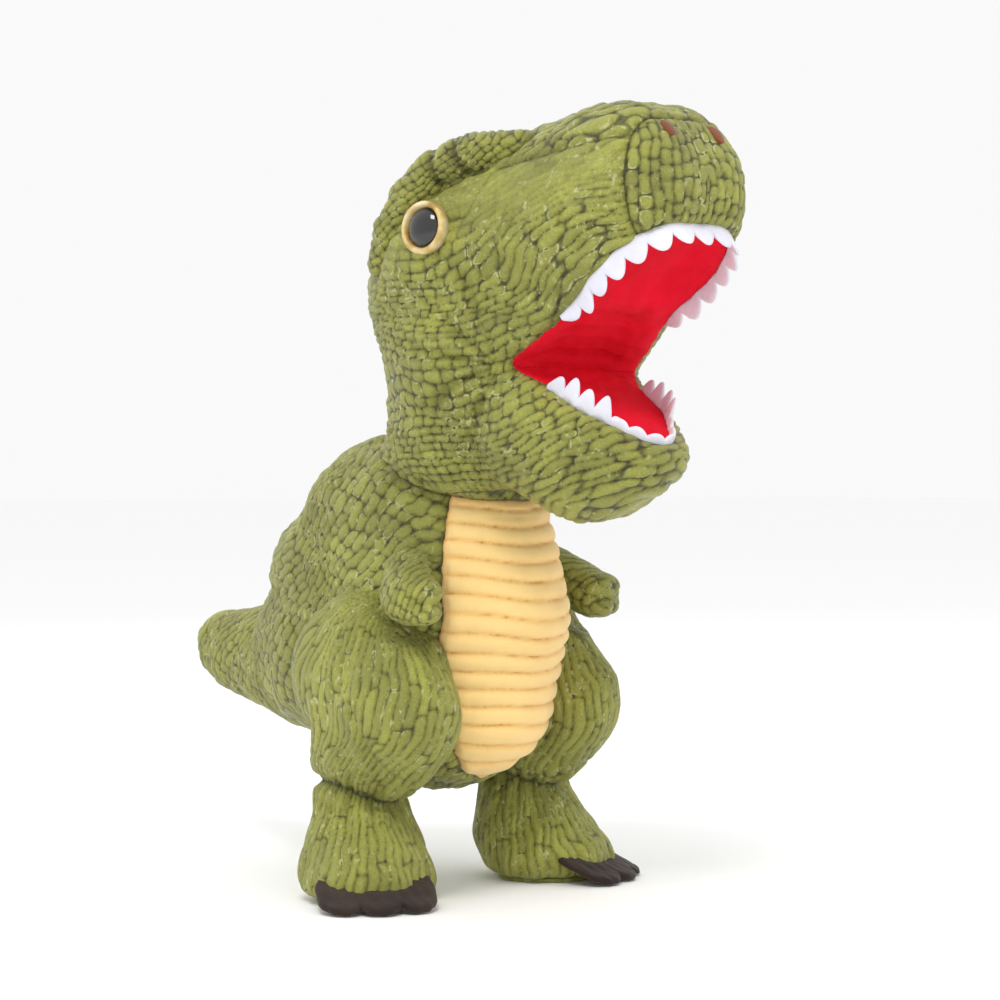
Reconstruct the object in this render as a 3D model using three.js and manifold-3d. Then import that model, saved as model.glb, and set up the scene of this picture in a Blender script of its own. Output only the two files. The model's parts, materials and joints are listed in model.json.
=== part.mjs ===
// Stuffed toy dinosaur standing on two legs, mouth wide open. Millimetres, +Z up, facing -Y,
// its right side at -X. The origin is on the floor, under the middle of the bounding box.
// Every stuffed form is a hull of round bodies; its skin is a shell that is open at its seam.
import * as THREE from 'three';
import { ConvexGeometry } from 'three/addons/geometries/ConvexGeometry.js';
import { mergeVertices } from 'three/addons/utils/BufferGeometryUtils.js';
import Module from 'manifold-3d';

const wasm = await Module();
wasm.setup();

// Driving dimensions
const SKIN = 2.0;
const GAP = 0.45;
const SWING_ROOM = 0.9;
const LOOSE = 1.6;
const ROOMY = 10;
const LINING = 1.5;
const FELT = 1.8;
const FAR = 400;
const FINE = [12, 6];
const COARSE = [8, 5];
const SMOOTHED = 0.2;

const NECK = [0, -38, 196];
const MOUTH_CORNER = [0, -108, 240];
const TAIL_ROOT = [0, 46, 98];
const SHOULDER = [42, -44, 150];
const HIP = [45, -22, 102];
const NECK_SWING = [-10, 10];
const JAW_SWING = [-5, 25];
const TAIL_SWING = [-20, 20];
const ARM_SWING = [-8, 40];
const HIP_SWING = [-8, 8];
const SWING_STEP = 8;

const ball = (x, y, z, rx, ry = rx, rz = rx) => ({ at: [x, y, z], r: [rx, ry, rz] });
const TORSO = [[
  ball(0, -8, 92, 47, 66, 46),
  ball(0, -11, 128, 49, 71, 46),
  ball(0, -3, 172, 47, 66, 37),
  ball(0, 35, 117, 48, 62, 49),
  ball(0, 34, 138, 46, 58, 36),
]];
const HEAD = [
  [ball(0, -52, 278, 60, 53, 56), ball(0, -62, 243, 57, 51, 46), ball(0, -50, 206, 48, 46, 28)],
  [ball(0, -66, 292, 62, 46, 46), ball(0, -108, 300, 50, 44, 46), ball(14, -147, 311, 27, 44, 40),
    ball(-14, -147, 311, 27, 44, 40), ball(10, -140, 288, 28, 49, 34),
    ball(-10, -140, 288, 28, 49, 34)],
  [ball(0, -72, 252, 58, 42, 42), ball(0, -104, 258, 46, 26, 36), ball(0, -124, 266, 37, 26, 28)],
];
const JAW = [[
  ball(0, -104, 214, 44, 34, 34),
  ball(0, -122, 205, 38, 34, 32),
  ball(0, -138, 200, 26, 30, 20),
]];
const TAIL = [
  [ball(0, 46, 98, 37), ball(0, 90, 98, 30)],
  [ball(0, 90, 98, 30), ball(0, 138, 99, 23), ball(0, 167, 101, 18, 18, 18)],
];
const ARM = [[ball(42, -44, 149, 11.5), ball(54, -61, 136, 12, 13.5, 11.5)]];
const THIGH = [[
  ball(45, -20, 100, 27, 42, 37),
  ball(48, -34, 86, 25, 43, 32),
  ball(48, -24, 66, 22, 30, 22),
]];
const ANKLE = { at: [49, -17], r: 20, z: 48 };
const FOOT = { splay: 28, at: [52, -25], halfWidth: 30, halfLength: 34, height: 12 };
const SOLE_THICK = 2.2;

const CLAW = { reach: 18, slope: 24, root: 8, across: 56 };
const EYE = { at: [57.5, -78, 300], facing: [1, -0.2, 0.08], rim: 11.8, pupil: 9.6, tall: 3.2 };
const WASHER = { r: 9, thick: 1.6, hole: 3.2 };
const NOSTRIL = { at: [14, -179.5, 334], r: [3.8, 3.4, 3.4] };
const BROW = [
  ball(54, -38, 292, 7), ball(53, -50, 315, 8), ball(47, -65, 329, 8), ball(36, -92, 336, 7),
];
const PALATE_FRONT = [-200, 304];
const LIP_FRONT = [-182, 197];
const MUZZLE_SEAM = { top: [-168, 400], bottom: [-180, 240] };
const JAW_BACK = [-96, 140];
const TEETH = { across: 11, root: 2.6, lap: 0.2, sizes: [0.8, 1, 0.7, 0.9] };
const UPPER_TEETH = { count: 14, tall: 11, radius: 31, middle: -155, front: PALATE_FRONT, up: -1 };
const LOWER_TEETH = { count: 9, tall: 8, radius: 25, middle: -141, front: LIP_FRONT, up: 1 };
const BELLY = [[-27, 205], [-34, 160], [-38, 115], [-30, 78], [-13, 55], [13, 55], [30, 78],
  [38, 115], [34, 160], [27, 205]];

const LOOK = {
  plush: [0x8f9548, 0.5, 0], muzzle: [0x97994e, 0.5, 0], belly: [0xf6cc7a, 0.9, 0],
  lining: [0xc50322, 0.8, 0], felt: [0xf0f0f2, 0.9, 0], claw: [0x42302a, 0.85, 0],
  fill: [0xf4f1ea, 1, 0], pellets: [0xd8d2c2, 0.9, 0], rim: [0xb89a54, 0.25, 0],
  pupil: [0x101010, 0.08, 0], washer: [0xe8e8e8, 0.4, 0], patch: [0x6b4a2a, 0.8, 0],
};

// Solids
function solid(geometry) {
  const bare = geometry.clone();
  bare.deleteAttribute('normal');
  bare.deleteAttribute('uv');
  const merged = mergeVertices(bare, 1e-4);
  return new wasm.Manifold(new wasm.Mesh({
    numProp: 3,
    vertProperties: new Float32Array(merged.attributes.position.array),
    triVerts: new Uint32Array(merged.index.array),
  }));
}

const union = (solids) => solids.reduce((whole, next) => whole.add(next));
const without = (whole, solids) => solids.reduce((left, next) => left.subtract(next), whole);

function roundPoints({ at, r }, inset) {
  const places = new THREE.SphereGeometry(1, ...(inset < -LOOSE ? COARSE : FINE)).attributes.position;
  return Array.from({ length: places.count }, (_, i) => new THREE.Vector3(
    at[0] + places.getX(i) * (r[0] - inset),
    at[1] + places.getY(i) * (r[1] - inset),
    at[2] + places.getZ(i) * (r[2] - inset),
  ));
}

function hull(balls, inset = 0) {
  return new ConvexGeometry(balls.flatMap((each) => roundPoints(each, inset)));
}

const form = (groups, inset = 0) => union(groups.map((balls) => solid(hull(balls, inset))));

const sided = (groups, side) => groups.map((balls) => balls.map(
  ({ at, r }) => ({ at: [at[0] * side, at[1], at[2]], r })));

function turned(geometry, pivot, axis, degrees) {
  const spin = new THREE.Matrix4().makeRotationAxis(axis, THREE.MathUtils.degToRad(degrees));
  return geometry.clone().translate(-pivot[0], -pivot[1], -pivot[2])
    .applyMatrix4(spin).translate(...pivot);
}

function swept(geometries, pivot, axis, [from, to]) {
  const solids = [];
  const steps = Math.ceil((to - from) / SWING_STEP);
  for (let i = 0; i <= steps; i += 1) {
    const angle = from + ((to - from) * i) / steps;
    solids.push(...geometries.map((each) => solid(turned(each, pivot, axis, angle))));
  }
  return union(solids).simplify(SMOOTHED);
}

function prism(points, from, to, right, up, out) {
  const shape = new THREE.Shape(points.map(([a, b]) => new THREE.Vector2(a, b)));
  const body = new THREE.ExtrudeGeometry(shape, { depth: to - from, bevelEnabled: false });
  return body.translate(0, 0, from).applyMatrix4(new THREE.Matrix4().makeBasis(right, up, out));
}

const X = new THREE.Vector3(1, 0, 0);
const Y = new THREE.Vector3(0, 1, 0);
const Z = new THREE.Vector3(0, 0, 1);
const acrossBody = (pointsYZ, half = FAR) => prism(pointsYZ, -half, half, Y, Z, X);
const backToFront = (pointsXZ, from, to) => prism(pointsXZ, from, to, X, Z, Y.clone().negate());
const standing = (pointsXY, from, to) => prism(pointsXY, from, to, X, Y, Z);

function facing(geometry, at, direction) {
  const turn = new THREE.Quaternion().setFromUnitVectors(Y, direction.clone().normalize());
  return geometry.applyQuaternion(turn).translate(...at);
}

function lathe(profile, segments = 32) {
  return new THREE.LatheGeometry(profile.map(([r, h]) => new THREE.Vector2(r, h)), segments);
}

// The largest body of a cut form; slivers beside it are dropped
function largest(body) {
  return body.decompose().reduce((a, b) => (a.volume() > b.volume() ? a : b));
}

function node(name, body, look) {
  const smoothed = look === 'fill' || look === 'pellets' ? SMOOTHED * 4 : SMOOTHED;
  const { vertProperties, triVerts } = largest(body.simplify(smoothed)).getMesh();
  const geometry = new THREE.BufferGeometry();
  geometry.setAttribute('position', new THREE.BufferAttribute(vertProperties, 3));
  geometry.setIndex(new THREE.BufferAttribute(triVerts, 1));
  geometry.computeVertexNormals();
  const [color, roughness, metalness] = LOOK[look];
  const mesh = new THREE.Mesh(
    geometry, new THREE.MeshStandardMaterial({ color, roughness, metalness }));
  mesh.name = name;
  return mesh;
}

const sideName = (side) => (side < 0 ? 'right' : 'left');
const mirror = ([x, y, z], side) => [x * side, y, z];

// The mouth: a wedge whose edge is the line through both mouth corners
function mouthWedge(upperLift = 0, lowerDrop = 0) {
  const [, y, z] = MOUTH_CORNER;
  return acrossBody([
    [y + upperLift, z],
    [PALATE_FRONT[0] + upperLift, PALATE_FRONT[1] + upperLift],
    [-FAR, PALATE_FRONT[1] + upperLift],
    [-FAR, LIP_FRONT[1] - lowerDrop],
    [LIP_FRONT[0], LIP_FRONT[1] - lowerDrop],
  ]);
}

const along = ([ay, az], [by, bz]) => {
  const length = Math.hypot(by - ay, bz - az);
  return { run: [(by - ay) / length, (bz - az) / length], length };
};

// A slab of given depth on the upper or lower face of the mouth, reaching away from it
function mouthSlab(front, near, far, outward) {
  const corner = MOUTH_CORNER.slice(1);
  const { run } = along(corner, front);
  const off = [-run[1] * outward, run[0] * outward];
  const place = (t, d) => [corner[0] + run[0] * t + off[0] * d, corner[1] + run[1] * t + off[1] * d];
  return acrossBody([place(0, near), place(FAR, near), place(FAR, far), place(0, far)]);
}

// Everything that belongs to the jaw: below the lower lip, in front of the cheek
function jawRegion(open = 0) {
  const [, y, z] = MOUTH_CORNER;
  const { run } = along([y, z], LIP_FRONT);
  return acrossBody([
    [y - open, z - open],
    [JAW_BACK[0] - open, JAW_BACK[1] - FAR / 2],
    [-FAR, JAW_BACK[1] - FAR / 2],
    [y + run[0] * FAR, z + run[1] * FAR - Math.min(open, 0)],
  ]);
}

const jawSolid = (inset = 0) => form(JAW, inset).intersect(solid(jawRegion(inset)));

function asGeometry(body) {
  const { vertProperties, triVerts } = body.getMesh();
  const geometry = new THREE.BufferGeometry();
  geometry.setAttribute('position', new THREE.BufferAttribute(vertProperties, 3));
  geometry.setIndex(new THREE.BufferAttribute(triVerts, 1));
  return geometry;
}

const jawSweep = (margin = GAP) => swept(
  [asGeometry(jawSolid(-margin))], MOUTH_CORNER, X.clone().negate(), JAW_SWING);

// Head
function headParts() {
  const opening = [solid(mouthWedge()), jawSweep()];
  const outer = without(form(HEAD), opening);
  const palateFace = solid(mouthSlab(PALATE_FRONT, -FAR, LINING + LOOSE, -1));
  const inner = form(HEAD, SKIN);
  const neckOpening = solid(hull([ball(0, -40, 186, 30, 28, 30)]));
  const shell = without(outer, [inner, neckOpening]);
  const seam = (shift) => solid(acrossBody([
    [MUZZLE_SEAM.top[0] - shift, MUZZLE_SEAM.top[1]],
    [-FAR, MUZZLE_SEAM.top[1]],
    [-FAR, MUZZLE_SEAM.bottom[1]],
    [MUZZLE_SEAM.bottom[0] - shift, MUZZLE_SEAM.bottom[1]],
  ]));
  const lining = form(HEAD, SKIN + GAP)
    .intersect(solid(mouthSlab(PALATE_FRONT, 0, LINING, -1)))
    .subtract(jawSweep());
  const throat = solid(hull([ball(0, -40, 182, 34, 32, 30)]));
  const fill = without(form(HEAD, SKIN + LOOSE), [
    solid(mouthWedge()), palateFace, solid(hull(JAW[0], -ROOMY)), throat]);
  return { shell, seam, lining, fill };
}

// One tooth of a felt strip, drawn flat: distance along the lip, then height (the point hangs down)
function toothOutline(left, across, tall, grow) {
  const [from, to] = [left - TEETH.lap, left + across + TEETH.lap];
  const root = TEETH.root + grow;
  const band = [[to, root], [left + across / 2, root], [from, root]];
  if (grow > 0) {
    return [[from, -tall - grow], [left + across / 2, -tall - grow], [to, -tall - grow], ...band];
  }
  return [[from, -TEETH.lap], [left + across * 0.3, -tall * 0.75], [left + across / 2, -tall],
    [left + across * 0.7, -tall * 0.75], [to, -TEETH.lap], ...band];
}

// A point of the U-shaped lip, by its distance from the middle of the front
function lipPoint(distance, radius, middle) {
  const quarter = (radius * Math.PI) / 2;
  const side = Math.sign(distance);
  if (Math.abs(distance) > quarter) {
    return { x: side * radius, y: middle + Math.abs(distance) - quarter, out: [side, 0] };
  }
  const turn = distance / radius;
  return {
    x: radius * Math.sin(turn), y: middle - radius * Math.cos(turn),
    out: [Math.sin(turn), -Math.cos(turn)],
  };
}

// The strip bent round the lip and laid on the mouth face that runs from the corner to its front
function bentTeeth({ count, tall, radius, middle, front, up }, grow) {
  const across = TEETH.across + (2 * grow) / count;
  const [, cornerY, cornerZ] = MOUTH_CORNER;
  const { run } = along([cornerY, cornerZ], front);
  const off = [-run[1] * up, run[0] * up];
  const bend = (strip) => {
    const places = strip.attributes.position;
    for (let i = 0; i < places.count; i += 1) {
      const { x, y, out } = lipPoint(-up * places.getX(i), radius, middle);
      const reach = places.getZ(i);
      const height = places.getY(i);
      const ahead = (cornerY - y - out[1] * reach) / -run[0];
      places.setXYZ(i, x + out[0] * reach, cornerY + run[0] * ahead + off[0] * height,
        cornerZ + run[1] * ahead + off[1] * height);
    }
    return solid(strip);
  };
  return union(Array.from({ length: count }, (_, i) => {
    const size = grow > 0 ? 1 : TEETH.sizes[i % TEETH.sizes.length];
    const outline = toothOutline((i - count / 2) * across, across, tall * size, grow);
    return bend(prism(outline, -FELT / 2 - grow, FELT / 2 + grow, X, Y, Z));
  }));
}

const upperTeeth = (grow = 0) => bentTeeth(UPPER_TEETH, grow);
const lowerTeeth = (grow = 0) => bentTeeth(LOWER_TEETH, grow);

// Eyes: a rimmed plastic disc on a stem through the skin, a glossy dome, and a lock washer inside
function eye(side) {
  const { rim, pupil, tall } = EYE;
  const direction = new THREE.Vector3(...mirror(EYE.facing, side));
  const at = mirror(EYE.at, side);
  const put = (profile) => solid(facing(lathe(profile), at, direction));
  const stem = WASHER.hole - GAP;
  const floor = tall - 2;
  const hub = -SKIN - GAP - 2;
  return {
    rim: put([[0, -14], [stem, -14], [stem, 0], [rim, 0], [rim, tall - 1], [rim - 1, tall],
      [pupil + GAP, tall], [pupil + GAP, floor], [0, floor]]),
    pupil: put([[0, floor + GAP], [pupil, floor + GAP], [pupil, tall], [pupil * 0.85, tall + 2.4],
      [pupil * 0.55, tall + 4], [0, tall + 4.8]]),
    washer: put([[stem + GAP, hub - 4], [WASHER.r, hub - 4], [WASHER.r, hub - 4 + WASHER.thick],
      [stem + GAP, hub - 4 + WASHER.thick], [stem + GAP, hub - 4]]),
    room: put([[0, -16], [WASHER.r + GAP, -16], [WASHER.r + GAP, -5], [0, -5]]),
    seat: put([[0, -15], [WASHER.hole, -15], [WASHER.hole, -GAP], [rim + GAP, -GAP],
      [rim + GAP, 9], [0, 9]]),
  };
}

const brow = (side, inset) => union(BROW.slice(1).map((end, i) => solid(
  hull(sided([[BROW[i], end]], side)[0], inset))));

const nostril = (side, grow) => solid(hull([
  { at: mirror(NOSTRIL.at, side), r: NOSTRIL.r.map((v) => v + grow) }]));

function headNodes() {
  const { shell, seam, lining, fill } = headParts();
  const teeth = upperTeeth();
  const teethRoom = upperTeeth(GAP);
  const eyes = { right: eye(-1), left: eye(1) };
  const held = [];
  const fillCuts = [];
  const nodes = [];
  for (const side of [-1, 1]) {
    const name = sideName(side);
    const { rim, pupil, washer, seat, room } = eyes[name];
    held.push(seat, room, nostril(side, GAP));
    fillCuts.push(nostril(side, LOOSE));
    nodes.push(node(`eye_rim_${name}`, rim, 'rim'), node(`eye_pupil_${name}`, pupil, 'pupil'));
    nodes.push(node(`eye_washer_${name}`, washer, 'washer'));
    nodes.push(node(`brow_${name}`, without(brow(side, 0), [form(HEAD, GAP * -1), seat]), 'plush'));
    nodes.push(node(`nostril_${name}`, nostril(side, 0), 'patch'));
  }
  const cuts = [...held, teethRoom];
  const skin = without(shell, cuts);
  nodes.push(node('head_skin', skin.subtract(seam(-GAP)), 'plush'));
  nodes.push(node('muzzle_cap', skin.intersect(seam(0)), 'muzzle'));
  nodes.push(node('palate_lining', lining.subtract(teethRoom), 'lining'));
  nodes.push(node('head_stuffing', without(fill, [...held, ...fillCuts, upperTeeth(LOOSE)]), 'fill'));
  nodes.push(node('upper_teeth', teeth, 'felt'));
  return nodes;
}

function jawNodes() {
  const teeth = lowerTeeth();
  const strips = [lowerTeeth(GAP)];
  const outer = jawSolid();
  const [, y, z] = MOUTH_CORNER;
  const room = solid(acrossBody([
    [y - SKIN, z + FAR], [y - SKIN, z], [JAW_BACK[0] - SKIN, JAW_BACK[1] - FAR / 2],
    [-FAR, JAW_BACK[1] - FAR / 2], [-FAR, z + FAR],
  ]));
  const face = solid(mouthSlab(LIP_FRONT, -FAR / 2, LINING + LOOSE, 1));
  const skin = without(outer, [form(JAW, SKIN).intersect(room), ...strips]);
  const lining = without(form(JAW, SKIN + GAP).intersect(room)
    .intersect(solid(mouthSlab(LIP_FRONT, 0, LINING, 1))), strips);
  const fill = without(
    form(JAW, SKIN + LOOSE).intersect(solid(jawRegion(SKIN + LOOSE))),
    [face, lowerTeeth(LOOSE)]);
  return [
    node('jaw_skin', skin, 'plush'), node('jaw_lining', lining, 'lining'),
    node('jaw_stuffing', fill, 'fill'),
    node('lower_teeth', teeth, 'felt'),
  ];
}

// Torso
function limbRoom() {
  const down = X.clone().negate();
  const hulls = (groups) => groups.map((balls) => hull(balls, -SWING_ROOM));
  const room = [
    swept(hulls([HEAD[0], HEAD[2], JAW[0]]), NECK, down, NECK_SWING),
    swept(hulls(TAIL), TAIL_ROOT, Z, TAIL_SWING),
  ];
  for (const side of [-1, 1]) {
    room.push(swept(hulls(sided(ARM, side)), mirror(SHOULDER, side), down, ARM_SWING));
    room.push(swept(hulls(sided(THIGH, side)), mirror(HIP, side), down, HIP_SWING));
  }
  return room;
}

// Wide, plain room round every limb, for the stuffing
function looseRoom() {
  const groups = [HEAD[0], HEAD[2], JAW[0], TAIL[0]];
  for (const side of [-1, 1]) {
    groups.push(...sided(ARM, side), ...sided(THIGH, side));
  }
  return groups.map((balls) => solid(hull(balls, -ROOMY)));
}

function torsoNodes() {
  const room = limbRoom();
  const shell = without(form(TORSO), [form(TORSO, SKIN), ...room]);
  const widen = (grow) => BELLY.map(([x, z]) => [x + Math.sign(x) * grow, z - grow]);
  const bellyRoom = solid(backToFront(widen(GAP), 15, FAR));
  const belly = solid(backToFront(widen(0), 15, FAR));
  return [
    node('torso_skin', shell.subtract(bellyRoom), 'plush'),
    node('belly_panel', shell.intersect(belly), 'belly'),
    node('torso_stuffing', without(form(TORSO, SKIN + LOOSE), looseRoom()), 'fill'),
  ];
}

function tailNodes() {
  const opening = solid(hull([ball(0, 4, 98, 22)]));
  return [
    node('tail_skin', without(form(TAIL), [form(TAIL, SKIN), opening]), 'plush'),
    node('tail_stuffing', form(TAIL, SKIN + LOOSE), 'fill'),
  ];
}

function armNodes(side) {
  const shape = sided(ARM, side);
  const opening = solid(hull([ball(30 * side, -44, 154, 9)]));
  return [
    node(`arm_skin_${sideName(side)}`, without(form(shape), [form(shape, SKIN), opening]), 'plush'),
    node(`arm_stuffing_${sideName(side)}`, form(shape, SKIN + LOOSE), 'fill'),
  ];
}

// Legs and feet
function splayed(geometry, side) {
  return geometry.rotateZ(THREE.MathUtils.degToRad(FOOT.splay * side))
    .translate(FOOT.at[0] * side, FOOT.at[1], 0);
}

function ovalPoints(grow = 0) {
  const around = 28;
  return Array.from({ length: around }, (_, i) => {
    const turn = (i / around) * Math.PI * 2;
    return [(FOOT.halfWidth - 2 + grow) * Math.cos(turn), (FOOT.halfLength - 2 + grow) * Math.sin(turn)];
  });
}

function footForm(side, inset = 0) {
  const { halfWidth, halfLength, height } = FOOT;
  const base = ball(0, 0, SOLE_THICK + GAP + height, halfWidth, halfLength, height);
  const low = splayed(hull([base], inset), side).attributes.position;
  const points = Array.from({ length: low.count }, (_, i) => new THREE.Vector3().fromBufferAttribute(low, i));
  const [x, y] = ANKLE.at;
  points.push(...roundPoints(ball(x * side, y, ANKLE.z - 8, ANKLE.r, ANKLE.r, 10), inset));
  return solid(new ConvexGeometry(points));
}

function clawPoints() {
  const { across, reach, root } = CLAW;
  const lobe = across / 3;
  const points = [[-across / 2, root]];
  for (let i = 0; i < 3; i += 1) {
    const left = -across / 2 + i * lobe;
    points.push([left, -reach * 0.3], [left + lobe * 0.2, -reach * 0.85], [left + lobe * 0.5, -reach],
      [left + lobe * 0.8, -reach * 0.85]);
  }
  points.push([across / 2, -reach * 0.3], [across / 2, root]);
  return points;
}

function claws(side, thick, lift) {
  const plate = standing(clawPoints(), -thick / 2, thick / 2)
    .rotateX(THREE.MathUtils.degToRad(CLAW.slope))
    .translate(0, -FOOT.halfLength + 4, CLAW.reach * Math.sin(THREE.MathUtils.degToRad(CLAW.slope)) + lift);
  return solid(splayed(plate, side));
}

function legNodes(side) {
  const name = sideName(side);
  const shape = sided(THIGH, side);
  const above = (z) => solid(standing([[-FAR, -FAR], [FAR, -FAR], [FAR, FAR], [-FAR, FAR]], z, FAR));
  const opening = solid(hull([ball(18 * side, -26, 104, 16)]));
  const ankleTop = above(ANKLE.z);
  const thigh = without(form(shape), [form(shape, SKIN), opening]).intersect(above(ANKLE.z + GAP));
  const thighFill = form(shape, SKIN + LOOSE).intersect(above(ANKLE.z + GAP));
  const foot = footForm(side).subtract(ankleTop);
  const claw = claws(side, FELT, FELT / 2 + 0.1);
  const clawRoom = claws(side, FELT + 4 * GAP, FELT / 2 + 0.1);
  const cuts = [footForm(side, SKIN), clawRoom];
  const sole = solid(splayed(standing(ovalPoints(), 0, SOLE_THICK), side));
  return [
    node(`thigh_skin_${name}`, thigh, 'plush'),
    node(`thigh_stuffing_${name}`, thighFill, 'fill'),
    node(`foot_skin_${name}`, without(foot, cuts), 'plush'),
    node(`foot_pellet_bag_${name}`, without(footForm(side, SKIN + LOOSE), [ankleTop, clawRoom]), 'pellets'),
    node(`foot_sole_${name}`, sole.subtract(clawRoom), 'plush'),
    node(`claws_${name}`, claw, 'claw'),
  ];
}

const toy = new THREE.Group();
toy.name = 'stuffed_dinosaur';
toy.add(...torsoNodes(), ...headNodes(), ...jawNodes(), ...tailNodes());
for (const side of [-1, 1]) {
  toy.add(...armNodes(side), ...legNodes(side));
}

const box = new THREE.Box3().setFromObject(toy);
const middle = (box.min.y + box.max.y) / 2;
toy.children.forEach((each) => each.geometry.translate(0, -middle, 0));

export default toy;
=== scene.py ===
"""Stuffed toy dinosaur: embossed plush skins over padded forms, ribbed belly, felt teeth and claws.

Lengths inside this script are millimetres in the CAD frame; meshes are made in metres.
"""

import json
import math

import bmesh
import bpy
import numpy as np
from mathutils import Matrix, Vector


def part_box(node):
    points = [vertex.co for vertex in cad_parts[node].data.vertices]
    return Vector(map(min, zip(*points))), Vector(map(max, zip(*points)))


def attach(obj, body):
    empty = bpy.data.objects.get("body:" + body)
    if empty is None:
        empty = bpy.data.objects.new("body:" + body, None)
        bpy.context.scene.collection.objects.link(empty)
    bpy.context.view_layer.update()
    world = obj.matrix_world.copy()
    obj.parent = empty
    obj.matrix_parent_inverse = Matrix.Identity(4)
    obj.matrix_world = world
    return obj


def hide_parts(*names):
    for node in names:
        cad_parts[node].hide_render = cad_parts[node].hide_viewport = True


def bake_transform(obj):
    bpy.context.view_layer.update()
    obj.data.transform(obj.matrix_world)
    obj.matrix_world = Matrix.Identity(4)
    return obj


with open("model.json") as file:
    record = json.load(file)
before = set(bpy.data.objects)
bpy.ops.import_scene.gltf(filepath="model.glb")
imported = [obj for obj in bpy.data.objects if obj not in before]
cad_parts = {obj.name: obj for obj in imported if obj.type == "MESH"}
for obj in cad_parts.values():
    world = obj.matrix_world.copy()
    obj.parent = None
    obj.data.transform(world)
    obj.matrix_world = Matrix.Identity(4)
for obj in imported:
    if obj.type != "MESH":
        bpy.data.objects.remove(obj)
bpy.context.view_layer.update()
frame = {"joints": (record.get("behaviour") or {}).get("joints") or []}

MM = 0.001
JOINTS = {j["name"]: np.array(j["pos_m"]) / MM for j in frame["joints"]}
NECK = JOINTS["neck_nod"]
CORNER = JOINTS["jaw_open_close"]
BACK = NECK[1] + 38.0  # added to y in the forms below, which are written with the neck joint at -38
STEP = 1.15
SIDES = (("right", -1.0), ("left", 1.0))

# ---- camera, light and floor
TARGET = np.array([0.0, -52.0 + BACK, 190.0])
VIEW_DEGREES = -40.0
DISTANCE = 1100.0
LENS = 86.1
SHIFT = (0.007, -0.019)
LIGHTS_AIM = np.array([0.0, -0.03, 0.17])  # metres, near the middle of the toy
FLOOR_SIZE = 40.0


def make_camera():
    turn = math.radians(VIEW_DEGREES)
    back = np.array([math.sin(turn), -math.cos(turn), 0.0])
    data = bpy.data.cameras.new("camera")
    data.lens, data.sensor_width = LENS, 36.0
    data.shift_x, data.shift_y = SHIFT
    camera = bpy.data.objects.new("camera", data)
    camera.location = (TARGET + back * DISTANCE) * MM
    camera.rotation_euler = (math.pi / 2, 0.0, turn)
    bpy.context.collection.objects.link(camera)
    bpy.context.scene.camera = camera


def area_light(name, place, size, power):
    data = bpy.data.lights.new(name, "AREA")
    data.energy, data.size = power, size
    lamp = bpy.data.objects.new(name, data)
    lamp.location = place
    direction = LIGHTS_AIM - np.array(place)
    lamp.rotation_euler = Vector(direction).to_track_quat("-Z", "Y").to_euler()
    bpy.context.collection.objects.link(lamp)


def make_studio():
    world = bpy.data.worlds.new("studio")
    world.use_nodes = True
    world.node_tree.nodes["Background"].inputs["Color"].default_value = (1.0, 1.0, 1.0, 1.0)
    world.node_tree.nodes["Background"].inputs["Strength"].default_value = 0.95
    bpy.context.scene.world = world
    bpy.context.scene.view_settings.view_transform = "Standard"
    area_light("key", (-0.9, -0.7, 1.7), 0.6, 14.0)
    area_light("fill", (0.9, -1.4, 0.7), 1.2, 1.2)
    area_light("rim", (0.4, 1.2, 1.2), 1.0, 3.0)
    bpy.ops.mesh.primitive_plane_add(size=FLOOR_SIZE, location=(0, 0, 0))
    floor = bpy.context.object
    floor.name = "floor"
    material, _, _, shader = new_material("studio_white", 0.9)
    shader.inputs["Base Color"].default_value = (0.99, 0.99, 0.99, 1.0)
    shader.inputs["Specular IOR Level"].default_value = 0.1
    floor.data.materials.append(material)


make_camera()


# ---- node helpers
def new_material(name, roughness, sheen=0.0):
    material = bpy.data.materials.new(name)
    material.use_nodes = True
    tree = material.node_tree
    shader = tree.nodes["Principled BSDF"]
    shader.inputs["Roughness"].default_value = roughness
    shader.inputs["Sheen Weight"].default_value = sheen
    return material, tree.nodes, tree.links, shader


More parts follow.
